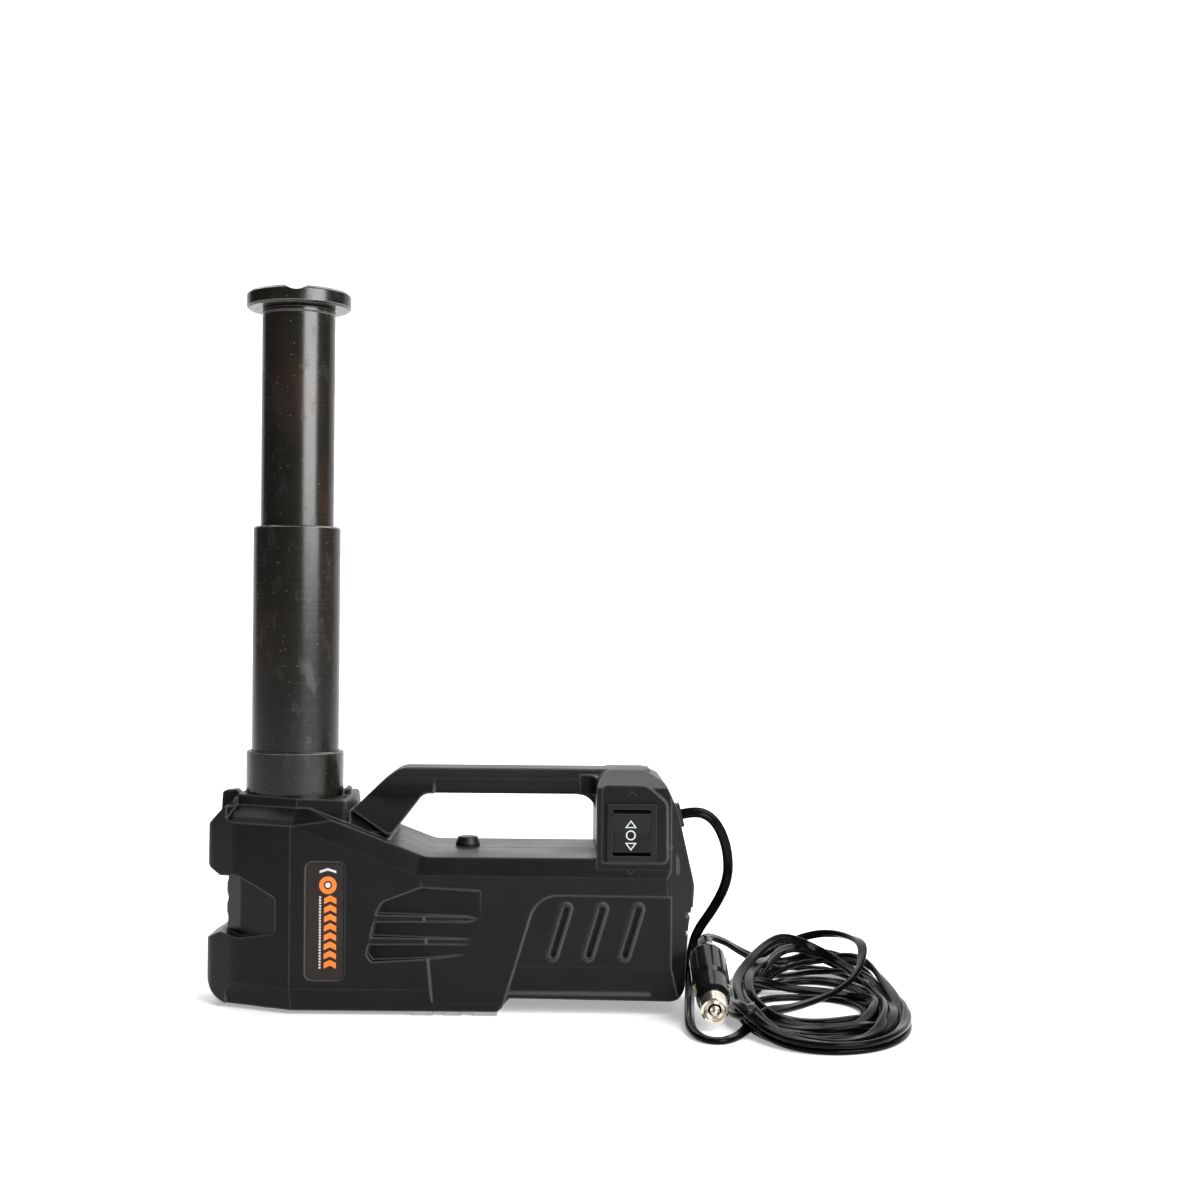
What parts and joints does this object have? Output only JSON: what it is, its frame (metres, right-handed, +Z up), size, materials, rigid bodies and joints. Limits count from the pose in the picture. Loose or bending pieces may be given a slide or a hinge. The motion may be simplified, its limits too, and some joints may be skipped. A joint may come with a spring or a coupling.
{
  "type": "electric hydraulic car jack",
  "caption": "Portable electric hydraulic car jack: telescopic ram with turning saddle, black case with carrying handle and rocker switch, flat cord with accessory plug.",
  "frame": {"origin": "on the ram's axis at the underside of the base plate, where the jack stands on the ground", "axes": "+Z up along the ram, +X from the nose to the rear of the case, -Y towards the side with the switch and the label"},
  "size_m": [0.4033, 0.264, 0.4085],
  "materials": {
    "case_plastic": "satin black, fine texture",
    "label_print": "dark satin film",
    "zinc_screws": "zinc plated",
    "black_screws": "black oxide",
    "plate_steel": "plain steel",
    "cast_block": "painted cast iron",
    "ram_steel": "black oxide, oiled, satin",
    "bronze_ring": "satin",
    "machined_steel": "machined",
    "spring_steel": "bright",
    "motor_steel": "zinc plated",
    "gearbox_alloy": "die cast",
    "inner_plastic": "moulded",
    "tank_plastic": "translucent natural",
    "black_rubber": "moulded",
    "switch_plastic": "satin black",
    "terminal_brass": "bright",
    "board": "green solder mask",
    "relay_plastic": "blue",
    "lead_insulation": "red insulation",
    "cord_pvc": "glossy black flat twin cord",
    "plug_plastic": "glossy black",
    "nickel": "nickel plated",
    "contact_brass": "tarnished nickel silver",
    "fuse_glass": "clear",
    "tie_plastic": "coated wire"
  },
  "bodies": {
    "case": {"front_housing": "case_plastic", "rear_housing": "case_plastic", "housing_screws": "black_screws", "label_plate": "label_print", "base_plate": "plate_steel", "base_screws": "zinc_screws", "base_block": "cast_block", "outer_cylinder": "ram_steel", "cylinder_gland": "machined_steel", "pump_body": "cast_block", "plunger_spring": "spring_steel", "gearbox": "gearbox_alloy", "motor_can": "motor_steel", "motor_end_cap": "inner_plastic", "oil_reservoir": "tank_plastic", "switch_frame": "switch_plastic", "switch_terminals": "terminal_brass", "control_board": "board", "relays": "relay_plastic", "motor_leads": "lead_insulation", "cord_grommet": "black_rubber", "power_cord": "cord_pvc", "cord_coil": "cord_pvc", "cord_tie": "tie_plastic", "cord_tail": "cord_pvc", "plug_body": "plug_plastic", "plug_nose_ring": "nickel", "plug_side_contacts": "contact_brass", "plug_fuse": "fuse_glass"},
    "stage_2": {"stage_2_tube": "ram_steel", "stage_2_guide_ring": "bronze_ring", "stage_2_gland": "machined_steel"},
    "stage_3": {"stage_3_tube": "ram_steel", "stage_3_guide_ring": "bronze_ring", "stage_3_plug": "machined_steel"},
    "saddle": {"saddle": "ram_steel", "saddle_clip": "spring_steel"},
    "plunger": {"pump_plunger": "machined_steel"},
    "release_spindle": {"release_valve": "machined_steel"},
    "shaft": {"drive_shaft": "machined_steel", "eccentric_bearing": "machined_steel"},
    "filler_plug": {"filler_plug": "black_rubber"},
    "rocker": {"switch_rocker": "switch_plastic"},
    "plug_tip": {"plug_tip_contact": "nickel"}
  },
  "joints": [
    {"name": "stage_2_slide", "type": "slide", "parent": "case", "child": "stage_2", "axis": [0, 0, 1], "range_m": [-0.116, 0]},
    {"name": "stage_3_slide", "type": "slide", "parent": "stage_2", "child": "stage_3", "axis": [0, 0, 1], "range_m": [-0.1225, 0]},
    {"name": "saddle_swivel", "type": "hinge", "parent": "stage_3", "child": "saddle", "pos_m": [0, 0, 0.39], "axis": [0, 0, 1], "continuous": true},
    {"name": "plunger_stroke", "type": "slide", "parent": "case", "child": "plunger", "axis": [0, 0, 1], "range_m": [-0.004, 0], "stiffness_N_per_m": 2500, "deforming": ["plunger_spring"]},
    {"name": "release_turn", "type": "hinge", "parent": "case", "child": "release_spindle", "pos_m": [0.048, -0.0203, 0.022], "axis": [0, -1, 0], "range_deg": [0, 180]},
    {"name": "shaft_spin", "type": "hinge", "parent": "case", "child": "shaft", "pos_m": [0.054, 0, 0.05], "axis": [1, 0, 0], "continuous": true},
    {"name": "filler_plug_pull", "type": "slide", "parent": "case", "child": "filler_plug", "axis": [0, 0, 1], "range_m": [0, 0.02]},
    {"name": "rocker_tilt", "type": "hinge", "parent": "case", "child": "rocker", "pos_m": [0.1935, -0.0434, 0.1031], "axis": [1, 0, 0], "range_deg": [-8, 8], "stiffness_Nm_per_rad": 0.35},
    {"name": "plug_tip_press", "type": "slide", "parent": "case", "child": "plug_tip", "axis": [-0.0768, -0.973, -0.2176], "range_m": [-0.0018, 0], "stiffness_N_per_m": 900}
  ]
}
